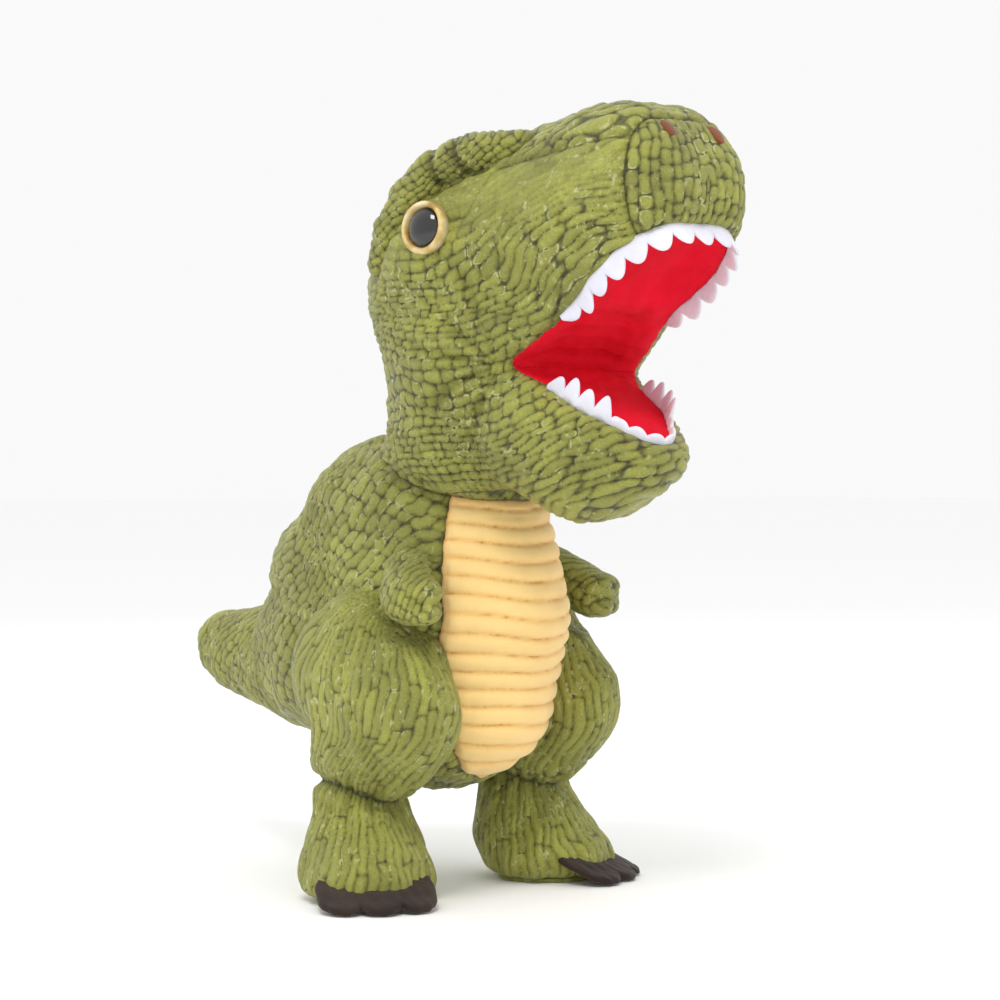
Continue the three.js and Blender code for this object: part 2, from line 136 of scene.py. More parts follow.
class Graph:
    """Short calls for wiring one material."""

    def __init__(self, name, roughness, sheen=0.0):
        self.material, self.nodes, self.links, self.shader = new_material(name, roughness, sheen)
        self.place = self.nodes.new("ShaderNodeTexCoord").outputs["Object"]

    def put(self, source, socket):
        if hasattr(source, "is_output"):
            self.links.new(source, socket)
        else:
            socket.default_value = source

    def noise(self, scale, detail=3.0, rough=0.55, stretch=None):
        node = self.nodes.new("ShaderNodeTexNoise")
        node.inputs["Scale"].default_value = scale
        node.inputs["Detail"].default_value = detail
        node.inputs["Roughness"].default_value = rough
        self.links.new(self.stretched(stretch), node.inputs["Vector"])
        return node.outputs["Fac"]

    def stretched(self, stretch):
        if stretch is None:
            return self.place
        node = self.nodes.new("ShaderNodeMapping")
        node.inputs["Scale"].default_value = stretch
        self.links.new(self.place, node.inputs["Vector"])
        return node.outputs["Vector"]

    def attribute(self, name):
        node = self.nodes.new("ShaderNodeAttribute")
        node.attribute_name = name
        return node.outputs["Fac"]

    def math(self, operation, a, b=0.0, clamp=False):
        node = self.nodes.new("ShaderNodeMath")
        node.operation, node.use_clamp = operation, clamp
        self.put(a, node.inputs[0])
        self.put(b, node.inputs[1])
        return node.outputs[0]

    def ramp(self, fac, stops):
        node = self.nodes.new("ShaderNodeValToRGB")
        elements = node.color_ramp.elements
        while len(elements) < len(stops):
            elements.new(0.5)
        for element, (at, colour) in zip(elements, stops):
            element.position, element.color = at, (*colour, 1.0)
        self.links.new(fac, node.inputs["Fac"])
        return node.outputs["Color"]

    def range(self, fac, low, high, to_low, to_high):
        node = self.nodes.new("ShaderNodeMapRange")
        self.links.new(fac, node.inputs["Value"])
        limits = {"From Min": low, "From Max": high, "To Min": to_low, "To Max": to_high}
        for name, value in limits.items():
            node.inputs[name].default_value = value
        return node.outputs["Result"]

    def mix(self, fac, a, b, blend="MIX"):
        node = self.nodes.new("ShaderNodeMix")
        node.data_type, node.blend_type = "RGBA", blend
        self.put(fac, node.inputs["Factor"])
        colour_a, colour_b = [s for s in node.inputs if s.type == "RGBA"]
        for source, socket in ((a, colour_a), (b, colour_b)):
            self.put(source if hasattr(source, "is_output") else (*source, 1.0), socket)
        return [s for s in node.outputs if s.type == "RGBA"][0]

    def grey(self, value):
        node = self.nodes.new("ShaderNodeCombineColor")
        for socket in node.inputs[:3]:
            self.links.new(value, socket)
        return node.outputs["Color"]

    def bump(self, height, strength, distance):
        node = self.nodes.new("ShaderNodeBump")
        node.inputs["Strength"].default_value = strength
        node.inputs["Distance"].default_value = distance
        self.links.new(height, node.inputs["Height"])
        self.links.new(node.outputs["Normal"], self.shader.inputs["Normal"])

    def finish(self, colour, roughness=None):
        self.links.new(colour, self.shader.inputs["Base Color"])
        if roughness is not None:
            self.links.new(roughness, self.shader.inputs["Roughness"])
        return self.material


def scaly_plush(name, light, mid, dark):
    """Shiny embossed plush: paler tops, grooves painted darker as shade, small pale glints painted on as
    highlights, and a short nap.
    """
    g = Graph(name, 0.5, sheen=0.1)
    g.shader.inputs["Sheen Roughness"].default_value = 0.4
    top, tone = g.attribute("top"), g.attribute("tone")
    broken = g.math("ADD", top, g.range(g.noise(300.0, 3.0), 0.3, 0.7, -0.14, 0.14))
    # colour by height: dark in the grooves as painted shade, paler on the crowns
    colour = g.ramp(broken, [(0.0, dark), (0.4, mid), (1.0, light)])
    cloudy = g.range(g.noise(28.0, 4.0), 0.3, 0.7, 0.76, 1.18)
    shade = g.math("MULTIPLY", cloudy, g.range(tone, 0.0, 1.0, 0.86, 1.1))
    fuzz = g.range(g.noise(1100.0, 3.0, 0.65), 0.3, 0.7, 0.84, 1.16)
    colour = g.mix(1.0, colour, g.grey(g.math("MULTIPLY", shade, fuzz)), "MULTIPLY")
    # painted highlights: pale glints scattered in specks and along the crowns' edges
    glint_specks = g.range(g.noise(420.0, 3.0, 0.6, (1.0, 1.0, 0.7)), 0.58, 0.7, 0.0, 1.0)
    glint_specks = g.math("MULTIPLY", glint_specks, g.range(g.noise(60.0, 2.0), 0.5, 0.62, 0.0, 0.75))
    off_rim = g.math("ABSOLUTE", g.math("SUBTRACT", top, 0.55))
    rim = g.math("SUBTRACT", 1.0, g.math("MULTIPLY", off_rim, 3.2), clamp=True)
    patches = g.range(g.noise(75.0, 2.0), 0.5, 0.6, 0.0, 0.8)
    broken_rim = g.math("MULTIPLY", patches, g.range(g.noise(260.0, 2.0), 0.48, 0.6, 0.0, 1.0))
    painted_glints = g.math("MAXIMUM", glint_specks, g.math("MULTIPLY", rim, broken_rim))
    # the pale colour of the painted highlights
    colour = g.mix(painted_glints, colour, (0.62, 0.64, 0.3))
    nap = g.noise(1500.0, 3.0, 0.7)
    rough = g.math("SUBTRACT", g.range(nap, 0.3, 0.7, 0.26, 0.46), g.math("MULTIPLY", painted_glints, 0.12))
    g.bump(g.math("ADD", nap, g.math("MULTIPLY", g.noise(500.0, 4.0, 0.65), 1.8)), 0.75, 0.0009)
    return g.finish(colour, rough)


def ribbed_plush(name):
    g = Graph(name, 0.85, sheen=0.25)
    top = g.math("ADD", g.attribute("top"), g.range(g.noise(500.0), 0.3, 0.7, -0.08, 0.08))
    # dark orange in the grooves between the ribs, paler on their crowns: painted shade in the grooves
    colour = g.ramp(top, [(0.0, (0.6, 0.28, 0.07)), (0.35, (0.86, 0.52, 0.16)), (0.85, (0.95, 0.66, 0.26))])
    cloudy = g.range(g.noise(22.0, 4.0), 0.3, 0.7, 0.92, 1.05)
    colour = g.mix(1.0, colour, g.grey(cloudy), "MULTIPLY")
    pile = g.noise(2600.0, 2.0, 0.75, (1.0, 1.0, 0.6))
    g.bump(pile, 0.55, 0.0006)
    return g.finish(colour, g.range(pile, 0.3, 0.7, 0.75, 0.95))


def flat_cloth(name, light, dark, scale, sheen=0.3):
    """Smooth brushed cloth with a fine knit under its nap."""
    g = Graph(name, 0.85, sheen=sheen)
    g.shader.inputs["Specular IOR Level"].default_value = 0.2
    cloudy = g.noise(40.0, 4.0)
    colour = g.mix(g.range(cloudy, 0.3, 0.7, 0.0, 1.0), light, dark)
    fibre = g.noise(scale, 3.0, 0.75)
    colour = g.mix(g.range(fibre, 0.35, 0.75, 0.0, 0.25), colour, dark)
    g.bump(g.math("ADD", fibre, g.noise(scale * 0.3, 2.0)), 0.45, 0.0005)
    return g.finish(colour, g.range(fibre, 0.3, 0.7, 0.78, 0.96))


def eye_gloss(name):
    g = Graph(name, 0.06)
    g.shader.inputs["Coat Weight"].default_value = 0.6
    scuffs = g.noise(900.0, 4.0, 0.7)
    colour = g.mix(g.range(g.noise(90.0), 0.3, 0.7, 0.0, 1.0), (0.006, 0.005, 0.006), (0.02, 0.017, 0.016))
    g.bump(scuffs, 0.03, 0.0001)
    return g.finish(colour, g.range(scuffs, 0.35, 0.8, 0.05, 0.16))


def eye_ring(name):
    """Moulded ring painted gold to cream, with fine radial streaks from the mould."""
    g = Graph(name, 0.28)
    streak = g.noise(130.0, 2.0, 0.5)
    golds = [(0.3, (0.30, 0.16, 0.03)), (0.5, (0.62, 0.44, 0.16)), (0.75, (0.85, 0.74, 0.45))]
    colour = g.ramp(streak, golds)
    g.bump(streak, 0.15, 0.0002)
    return g.finish(colour, g.range(streak, 0.3, 0.7, 0.2, 0.4))


# ---- distance fields
def norm(v):
    return np.sqrt((v * v).sum(-1))


def ellipsoid(p, ball):
    q = (p - ball[:3]) / ball[3:]
    a = norm(q)
    b = norm(q / ball[3:])
    return a * (a - 1.0) / np.maximum(b, 1e-6)


def soft_min(a, b, k):
    h = np.clip(0.5 + 0.5 * (b - a) / k, 0.0, 1.0)
    return b + (a - b) * h - k * h * (1.0 - h)


def soft_max(a, b, k):
    return -soft_min(-a, -b, k)


def ball(x, y, z, rx, ry=None, rz=None):
    return np.array([x, y + BACK, z, rx, rx if ry is None else ry, rx if rz is None else rz], float)


def chained(balls, between=3):
    """The balls with others between each pair, so that their soft union has straight sides."""
    made = []
    for a, b in zip(balls, balls[1:]):
        made += [a + (b - a) * t for t in np.linspace(0.0, 1.0, between + 1, endpoint=False)]
    return made + [balls[-1]]


def smooth(low, high, x):
    t = np.clip((x - low) / (high - low), 0.0, 1.0)
    return t * t * (3.0 - 2.0 * t)


def bell(x, width):
    return np.exp(-((x / width) ** 2))


# ---- surfaces from fields
def gridded(field_of, low, high, step):
    """The field on a grid, measured finely only near its surface."""
    axes = [np.arange(a, b + step * 4, step) for a, b in zip(low, high)]
    axes = [axis[: (len(axis) - 1) // 4 * 4 + 1] for axis in axes]
    coarse = np.stack(np.meshgrid(*[axis[::4] for axis in axes], indexing="ij"), -1)
    rough = field_of(coarse.reshape(-1, 3)).reshape(coarse.shape[:3])
    spread = rough
    for axis in range(3):
        spread = np.repeat(spread, 4, axis=axis)
    spread = spread[tuple(slice(0, len(axis)) for axis in axes)]
    shape = tuple(len(axis) for axis in axes)
    field = np.full(shape, 99.0)
    field[tuple(slice(0, n) for n in spread.shape)] = spread
    near = np.abs(field) < step * 9.0
    index = np.argwhere(near)
    points = np.stack([axes[i][index[:, i]] for i in range(3)], -1)
    field[near] = field_of(points)
    return axes, field


CORNERS = ((0, 0), (-1, 0), (-1, -1), (0, -1))  # of the four cells round a grid edge


def surface_net(field_of, low, high, step):
    """Points and quads of the surface where the field is zero."""
    axes, field = gridded(field_of, low, high, step)
    cells = tuple(n - 1 for n in field.shape)
    total, count = np.zeros((*cells, 3)), np.zeros(cells)
    quads = []
    inside = field < 0
    crossings = []
    for axis in range(3):
        one = [slice(None)] * 3
        two = [slice(None)] * 3
        one[axis], two[axis] = slice(0, -1), slice(1, None)
        a, b = field[tuple(one)], field[tuple(two)]
        cross = inside[tuple(one)] != inside[tuple(two)]
        index = np.argwhere(cross)
        share = a[cross] / (a[cross] - b[cross])
        point = np.stack([axes[i][index[:, i]] for i in range(3)], -1)
        point[:, axis] += share * step
        others = [i for i in range(3) if i != axis]
        around = [index.copy() for _ in CORNERS]
        for cell, step_to in zip(around, CORNERS):
            cell[:, others] += step_to
            good = ((cell >= 0) & (cell < np.array(cells))).all(1)
            np.add.at(total, tuple(cell[good].T), point[good])
            np.add.at(count, tuple(cell[good].T), 1.0)
        crossings.append((axis, around, inside[tuple(one)][cross]))
    used = count > 0
    number = np.full(cells, -1)
    number[used] = np.arange(used.sum())
    for axis, around, starts_inside in crossings:
        quad = np.stack([number[tuple(np.clip(cell, 0, np.array(cells) - 1).T)] for cell in around], -1)
        flip = starts_inside if axis == 1 else ~starts_inside
        quad[flip] = quad[flip][:, ::-1]
        quads.append(quad)
    return total[used] / count[used][:, None], np.concatenate(quads)


def gradient(field_of, p, reach=0.6):
    parts = []
    for axis in range(3):
        step = np.zeros(3)
        step[axis] = reach
        parts.append(field_of(p + step) - field_of(p - step))
    return np.stack(parts, -1) / (2.0 * reach)


def settled(field_of, p, rounds=2):
    """The points moved onto the surface where the field is zero."""
    for _ in range(rounds):
        slope = gradient(field_of, p)
        p = p - slope * (field_of(p) / np.maximum((slope**2).sum(-1), 0.05))[:, None]
    return p


def unit(v):
    return v / np.maximum(norm(v), 1e-9)[..., None]


MOST_SNAP = 2.5  # how far a point may move onto a cut line


class Skin:
    """A surface with its outward directions, still in one piece, in millimetres."""

    def __init__(self, field_of, low, high, step=STEP):
        low = np.array(low, float) + [0.0, BACK, 0.0]
        high = np.array(high, float) + [0.0, BACK, 0.0]
        points, self.quads = surface_net(field_of, low, high, step)
        self.points = settled(field_of, points)
        self.out = unit(gradient(field_of, self.points, 1.2))

    def split(self, side_of):
        """Snaps the points that quads of both sides share onto the line between them."""
        far = side_of(self.points[self.quads].mean(1)) > 0
        touched = np.zeros((2, len(self.points)), bool)
        for side in (0, 1):
            touched[side, self.quads[far == bool(side)].ravel()] = True
        shared = touched.all(0)
        move = settled(side_of, self.points[shared]) - self.points[shared]
        self.points[shared] += move * np.minimum(1.0, MOST_SNAP / np.maximum(norm(move), 1e-6))[:, None]


def piece(name, points, quads, tops=None, tones=None, material=None):
    """A Blender object of these quads, without the points that they don't use."""
    used = np.unique(quads)
    number = np.full(len(points), -1)
    number[used] = np.arange(len(used))
    mesh = bpy.data.meshes.new(name)
    mesh.from_pydata((points[used] * MM).tolist(), [], number[quads].tolist())
    for label, values in (("top", tops), ("tone", tones)):
        if values is not None:
            layer = mesh.attributes.new(label, "FLOAT", "POINT")
            layer.data.foreach_set("value", values[used].astype(np.float32))
    mesh.polygons.foreach_set("use_smooth", [True] * len(mesh.polygons))
    obj = bpy.data.objects.new(name, mesh)
    bpy.context.collection.objects.link(obj)
    if material is not None:
        mesh.materials.append(material)
    return obj


# ---- patterns
def hashed(x, y, seed):
    """Three steady random numbers for each pair of whole numbers."""
    h = (x.astype(np.int64) * 73856093) ^ (y.astype(np.int64) * 19349663) ^ (seed * 2654435761)
    parts = []
    for salt in (0x9E3779B1, 0x85EBCA77, 0xC2B2AE3D):
        v = (h * salt) & 0xFFFFFFFF
        v = ((v ^ (v >> 15)) * 0x2C1B3C6D) & 0xFFFFFFFF
        v = ((v ^ (v >> 12)) * 0x297A2D39) & 0xFFFFFFFF
        parts.append(((v ^ (v >> 15)) & 0xFFFF) / 65535.0)
    return np.stack(parts, -1)


def wobble(p, size, seed):
    """A smooth wandering field, about -1 to 1, from a few waves."""
    rng = np.random.default_rng(seed)
    total = np.zeros(len(p))
    for _ in range(5):
        direction = rng.normal(size=3)
        direction /= np.linalg.norm(direction)
        total += np.sin(p @ direction * (2 * math.pi / size) * rng.uniform(0.7, 1.5) + rng.uniform(0, 6.3))
    return total / 2.6


def warped(p, size, reach, seed):
    """The points moved about a little, so that lines drawn through them wander."""
    p = p + reach * np.stack([wobble(p, size, seed + i) for i in range(3)], -1)
    return p + 0.75 * np.stack([wobble(p, 7.5, seed + 4 + i) for i in range(3)], -1)


def bricks(a, b, long, wide, seed):
    """Rounded scales laid like bricks: a runs along their rows and b across them, in millimetres.

    Gives the height of each scale's crown, how far a point is from its groove's dark line, and its tone."""
    row = np.floor(b / wide)
    shift = hashed(row, row * 0, seed)[:, 0]
    place = a / long + shift + 0.5 * (row % 2.0)
    column = np.floor(place)
    first, second = (hashed(row, column + i, seed + 1)[:, 0] - 0.5 for i in (0, 1))
    start, end = column + 0.42 * first, column + 1.0 + 0.42 * second
    before, beyond = place < start, place > end
    mark = hashed(row, column - before + beyond, seed + 2)
    ends = np.minimum(np.abs(place - start), np.abs(end - place)) * long
    sides = (0.5 - np.abs(b / wide - row - 0.5)) * wide
    edge = soft_min(ends, sides, 1.8)
    crown = np.clip(edge / (0.42 * wide), 0.0, 1.0)
    return crown * (2.0 - crown), smooth(-0.2, 1.05, edge), mark[:, 1]


def round_about(p, y, radius):
    """Distance round an upright axis, from the back to the front, the same on both sides."""
    return radius * np.arctan2(np.abs(p[:, 0]), p[:, 1] - y)


def wandering(p, size, reach, seed):
    return reach * wobble(p, size, seed) + 0.55 * wobble(p, 9.0, seed + 1)


def mixed(weight, a, b):
    return tuple(x * (1.0 - weight) + y * weight for x, y in zip(a, b))


# ---- the body forms
TRUNK = [ball(0, -8, 92, 47, 66, 46), ball(0, -12, 128, 50, 73, 46), ball(0, -2, 172, 47, 71, 41)]
RUMP = ball(0, 37, 117, 48, 67, 49)
HUMP = ball(0, 33, 143, 47, 64, 43)
CRANIUM = [ball(0, -53, 278, 60, 52, 56), ball(0, -63, 243, 57, 50, 46), ball(0, -50, 206, 48, 46, 28)]
SNOUT = [ball(0, -66, 292, 62, 46, 46), ball(0, -108, 300, 50, 44, 46)]
MUZZLE = [ball(14, -147, 311, 27, 44, 40), ball(10, -140, 288, 28, 49, 34)]
CHEEK = [ball(0, -72, 252, 58, 42, 42), ball(0, -104, 258, 46, 26, 36), ball(0, -124, 266, 37, 26, 28)]
JAW = [ball(0, -104, 214, 44, 34, 34), ball(0, -122, 205, 38, 34, 32), ball(0, -138, 200, 26, 30, 20)]
TAIL = [ball(0, 52, 102, 38), ball(0, 92, 99, 30.5), ball(0, 136, 100, 23), ball(0, 162, 103, 18)]
ARM = [ball(42, -44, 148, 11), ball(50, -53, 141, 12, 12, 11), ball(54, -60, 137, 12, 13, 10.5)]
FINGERS = [ball(53, -67, 141, 8.5, 7.5, 5.5), ball(53, -67, 132, 8.5, 8, 5.5)]
THIGH = [ball(46, -19, 101, 27, 46, 38), ball(48, -34, 86, 25, 43, 32), ball(48, -23, 66, 24, 33, 24)]
BROW = [ball(54, -41, 287, 7), ball(54.5, -48, 302, 8.5), ball(52, -57, 315, 9.5), ball(46, -69, 327, 10),
        ball(40, -84, 333, 9.5), ball(30, -108, 336, 6)]

UPPER_LIP = np.array([BACK - 200.0, 304.0])
LOWER_LIP = np.array([BACK - 182.0, 197.0])
LINING_INSET = 2.0
PALATE_HOLLOW, FLOOR_RISE = 7.0, 3.5


def nearest(p, balls):
    field = ellipsoid(p, balls[0])
    for each in balls[1:]:
        field = np.minimum(field, ellipsoid(p, each))
    return field


TRUNK_CHAIN = chained(TRUNK) + chained([TRUNK[1], RUMP]) + chained([RUMP, TRUNK[2]], 4) + [HUMP]
CRANIUM_CHAIN = chained(CRANIUM)
SNOUT_CHAIN = chained(SNOUT) + chained([SNOUT[1], MUZZLE[0]]) + chained([SNOUT[1], MUZZLE[1]], 2)
CHEEK_CHAIN = chained(CHEEK, 2)
JAW_CHAIN = chained(JAW)
TAIL_CHAIN = chained(TAIL, 4)
THIGH_CHAIN = chained(THIGH, 4)
ARM_CHAIN = chained(ARM, 3)
BROW_CHAIN = chained(BROW, 6)
ARM_CLEARANCE = 8.5  # kept between the leg and the arm, so that both can swing


def nearest_wide(p, balls):
    """The nearest of forms that are stretched sideways, each by its first number to both sides."""
    field = np.full(len(p), 999.0)
    for each in balls:
        q = p.copy()
        q[:, 0] = np.maximum(np.abs(p[:, 0]) - each[0], 0.0)
        field = np.minimum(field, ellipsoid(q, each * [0, 1, 1, 1, 1, 1]))
    return field


def folded(p):
    """The same points with the left half laid over the right half."""
    q = p.copy()
    q[:, 0] = np.abs(q[:, 0])
    return q


def trunk_field(p):
    return soft_min(nearest(p, TRUNK_CHAIN), nearest(p, TAIL_CHAIN), 16.0)


def full_head(p):
    """The head before its mouth is opened."""
    top = soft_min(nearest(p, CRANIUM_CHAIN), nearest_wide(p, SNOUT_CHAIN), 12.0)
    low = soft_min(nearest(p, CHEEK_CHAIN), nearest(p, JAW_CHAIN), 10.0)
    return soft_min(top, low, 9.0)


def lip_direction(lip):
    run = lip - CORNER[1:]
    return run / np.linalg.norm(run)


UPPER_RUN, LOWER_RUN = lip_direction(UPPER_LIP), lip_direction(LOWER_LIP)
UPPER_UP = np.array([0.0, UPPER_RUN[1], -UPPER_RUN[0]])
LOWER_DOWN = np.array([0.0, -LOWER_RUN[1], LOWER_RUN[0]])
CORNER_MID = np.array([0.0, CORNER[1], CORNER[2]])
MID_DOWN = unit(LOWER_DOWN - UPPER_UP)
JAW_FRONT = unit(np.array([0.0, -0.965, -0.26]))
NECK_UP = unit(np.array([0.0, -0.467, 0.884]))
NECK_START, NECK_END = -7.0, 12.0
TAIL_BACK = unit(np.array([0.0, 0.949, -0.316]))
TAIL_START = np.array([0.0, BACK + 66.0, 60.0])


def along(p, start, direction):
    return (p - start) @ direction


def above_palate(p):
    return along(p, CORNER_MID, UPPER_UP)


def below_floor(p):
    return along(p, CORNER_MID, LOWER_DOWN)


def head_field(p):
    """The head with its mouth open: two lip planes that meet at the corners, hollowed inside."""
    whole = full_head(p)
    deep = smooth(2.0, 24.0, -whole)
    forward = along(p, CORNER_MID, np.array([0.0, *LOWER_RUN]))
    rise = FLOOR_RISE * smooth(4.0, 18.0, -whole) * smooth(8.0, 26.0, forward)
    wedge = soft_max(above_palate(p) - PALATE_HOLLOW * deep, below_floor(p) + rise, 5.0)
    return soft_max(whole, -wedge, 5.0)


def body_field(p):
    return soft_min(trunk_field(p), head_field(p), 5.0)


def neck_side(p):
    """Above 0 on the head's side of the crease at the neck."""
    return trunk_field(p) - head_field(p)


def lining_side(p):
    """Above 0 inside the mouth, a roll of the skin's edge away from the outside."""
    near_mouth = 4.0 + soft_min(12.0 - above_palate(p), 12.0 - below_floor(p), 1.0)
    return np.minimum(-full_head(p) - LINING_INSET, near_mouth)


def jaw_side(p):
    return np.minimum(along(p, CORNER_MID, JAW_FRONT), along(p, CORNER_MID, MID_DOWN))


def cap_side(p):
    """Above 0 in front of the seam round the end of the muzzle."""
    lean = (p[:, 2] - 300.0) * 0.06
    return BACK - 177.0 + lean - p[:, 1]


BELLY_WIDTHS = ((52.0, 0.0), (57.0, 14.0), (66.0, 23.0), (80.0, 30.0), (100.0, 35.5), (120.0, 37.5),
                (140.0, 36.5), (160.0, 33.5), (182.0, 29.0), (215.0, 25.0))


def belly_side(p):
    heights, widths = zip(*BELLY_WIDTHS)
    inside = np.interp(p[:, 2], heights, widths) - np.abs(p[:, 0])
    back = BACK - 12.0 - 22.0 * smooth(165.0, 195.0, p[:, 2])
    return np.minimum(inside, back - p[:, 1])


def thigh_field(p):
    return nearest(folded(p), THIGH_CHAIN)


FOOT_CENTRE = np.array([52.0, BACK - 25.0])
ANKLE = np.array([49.0, BACK - 17.0])
SPLAY = math.radians(28.0)
TOE = np.array([math.sin(SPLAY), -math.cos(SPLAY), 0.0])
ACROSS_FOOT = np.array([math.cos(SPLAY), math.sin(SPLAY), 0.0])
SOLE_TOP, FOOT_TOP = 2.4, 53.0
HEEL_TUCK = 9.0


def foot_shape(z):
    """(how far from the ankle's middle to the foot's, half width, half length) at a height."""
    drop = 1.0 - smooth(8.0, 46.0, z)
    tuck = 2.5 * bell(z - 2.0, 5.0)
    return drop, 21.0 + 9.5 * drop - tuck, 20.5 + 14.5 * drop - tuck


def foot_field(p):
    q = folded(p)
    drop, wide, long = foot_shape(q[:, 2])
    middle = ANKLE + (FOOT_CENTRE - ANKLE) * drop[:, None]
    away = q[:, :2] - middle
    u = away @ ACROSS_FOOT[:2] / wide
    v = away @ TOE[:2] / long
    side = (np.sqrt(u * u + v * v) - 1.0) * np.minimum(wide, long)
    side = side + HEEL_TUCK * smooth(0.1, 1.0, -v) * (1.0 - smooth(2.0, 24.0, q[:, 2]))
    return soft_max(soft_max(side, SOLE_TOP - q[:, 2], 5.0), q[:, 2] - FOOT_TOP, 4.0)


def leg_field(p):
    """Thigh and foot, with the thigh's top dented where the arm swings over it."""
    leg = soft_min(thigh_field(p), foot_field(p), 4.0)
    return soft_max(leg, ARM_CLEARANCE - arm_field(p), 8.0)


def ankle_side(p):
    return foot_field(p) - thigh_field(p)


def arm_field(p):
    """The short arm with two fingers parted by a pinch."""
    q = folded(p)
    arm = nearest(q, ARM_CHAIN)
    for finger in FINGERS:
        arm = soft_min(arm, ellipsoid(q, finger), 3.0)
    return arm


def brow_field(p):
    return nearest(folded(p), BROW_CHAIN)


# ---- relief
# Each scale's length along its row and width across it.
TRUNK_SCALE, HEAD_SCALE, CAP_SCALE = (8.2, 4.9), (7.4, 4.3), (7.5, 3.9)
LEG_SCALE, ARM_SCALE, BROW_SCALE = (30.0, 4.3), (7.0, 4.0), (7.0, 4.2)
RIB_PITCH = 8.2


def wrinkled(p, line, width, pitch, seed, depth):
    """Folds that run across a seam and die away from it: line is the distance to that seam."""
    w = wobble(warped(p, 60.0, 3.0, seed), pitch, seed)
    return -depth * np.maximum(w, 0.0) ** 1.5 * bell(line, width)


def trunk_relief(p):
    """Brick-like scales in rows that climb from the back to the chest, over the trunk and tail."""
    round_body = round_about(p, BACK + 20.0, 50.0) - np.maximum(p[:, 1] - BACK - 84.0, 0.0)
    a = 0.62 * round_body + 0.785 * p[:, 2] + wandering(p, 60.0, 2.0, 11)
    b = 0.785 * round_body - 0.62 * p[:, 2] + wandering(p, 50.0, 2.4, 15)
    crown, top, tone = bricks(a, b, *TRUNK_SCALE, 3)
    height = 1.15 * crown + 0.9 * wobble(p, 46.0, 5) + 0.4 * wobble(p, 17.0, 6)
    return height, top, tone


def head_relief(p):
    """Wavy rows of scales over the cheeks, a plainer temple, and creases from the mouth's corner; these
    creases and the crease under the brow are painted darker as shade.
    """
    side = round_about(p, BACK - 62.0, 58.0)
    climb = 0.3 * smooth(BACK - 60.0, BACK - 150.0, p[:, 1]) * (-p[:, 1] + BACK - 60.0)
    a = side + wandering(p, 50.0, 2.0, 21)
    b = p[:, 2] - climb + 4.5 * wobble(p, 75.0, 25) + wandering(p, 30.0, 1.2, 26)
    crown, top, tone = bricks(a, b, *HEAD_SCALE, 7)
    plain = smooth(268.0, 306.0, p[:, 2] + 0.25 * (p[:, 1] + 60.0) + 9.0 * wobble(p, 60.0, 12))
    plain = plain * (1.0 - smooth(322.0, 334.0, p[:, 2]))
    top = top * (1.0 - 0.6 * plain) + 0.6 * plain
    height = (1.15 - 0.8 * plain) * crown + 0.9 * wobble(p, 42.0, 8) + 0.45 * wobble(p, 15.0, 9)
    corner = p - np.array([0.0, CORNER[1] + 2.0, CORNER[2]])
    reach = norm(corner[:, 1:])
    turn = np.arctan2(corner[:, 2], corner[:, 1])
    rays = np.maximum(np.sin(turn * 11.0 + 1.3 * wobble(p, 50.0, 10)), 0.0) ** 2
    behind = smooth(-0.3, 0.5, np.cos(turn))
    height = height - 2.6 * rays * behind * bell(reach - 22.0, 22.0)
    # the crease under the brow: lowered, and painted darker as shade
    under_brow = bell(brow_field(p) - 1.0, 2.2) * smooth(BACK - 30.0, BACK - 40.0, p[:, 1])
    height, top = height - 1.6 * under_brow, top * (1.0 - 0.7 * under_brow)
    # the creases from the mouth's corner are painted darker as shade
    return height, top * (1.0 - 0.35 * rays * behind * bell(reach - 22.0, 22.0)), tone


def cap_relief(p):
    a = p[:, 2] + wandering(p, 40.0, 1.2, 31)
    b = round_about(p, BACK - 140.0, 42.0) + wandering(p, 40.0, 1.2, 35)
    crown, top, tone = bricks(a, b, *CAP_SCALE, 13)
    return 1.0 * crown + 0.6 * wobble(p, 30.0, 14), top, tone


def leg_relief(p):
    """Long upright grooves over the thigh and foot."""
    a = p[:, 2] + wandering(p, 50.0, 2.5, 41)
    low = 1.0 - smooth(50.0, 80.0, p[:, 2])
    away = p[:, :2] - (ANKLE + (1.0 - low)[:, None] * [0.0, -14.0])
    b = 33.0 * np.arctan2(away[:, 0] * (1.5 - 0.5 * low), -away[:, 1]) + 0.1 * p[:, 2]
    b = b + 2.0 * wobble(p, 60.0, 45) + 0.9 * wobble(p, 16.0, 46)
    crown, top, tone = bricks(a, b, *LEG_SCALE, 17)
    return 1.1 * crown + 1.0 * wobble(p, 38.0, 18) + 0.45 * wobble(p, 15.0, 19), 0.06 + 0.94 * top, tone


def arm_relief(p):
    a = p[:, 2] - 0.5 * p[:, 1] + wandering(p, 30.0, 1.0, 51)
    b = p[:, 1] + 0.5 * p[:, 2] + 0.6 * p[:, 0] + wandering(p, 30.0, 1.0, 53)
    crown, top, tone = bricks(a, b, *ARM_SCALE, 23)
    between_fingers = bell(p[:, 2] - 136.5, 1.5) * smooth(-66.0, -72.0, p[:, 1] - BACK)
    height = 0.75 * crown + 0.5 * wobble(p, 18.0, 24) - 0.9 * between_fingers
    return height, 0.05 + 0.95 * top, tone


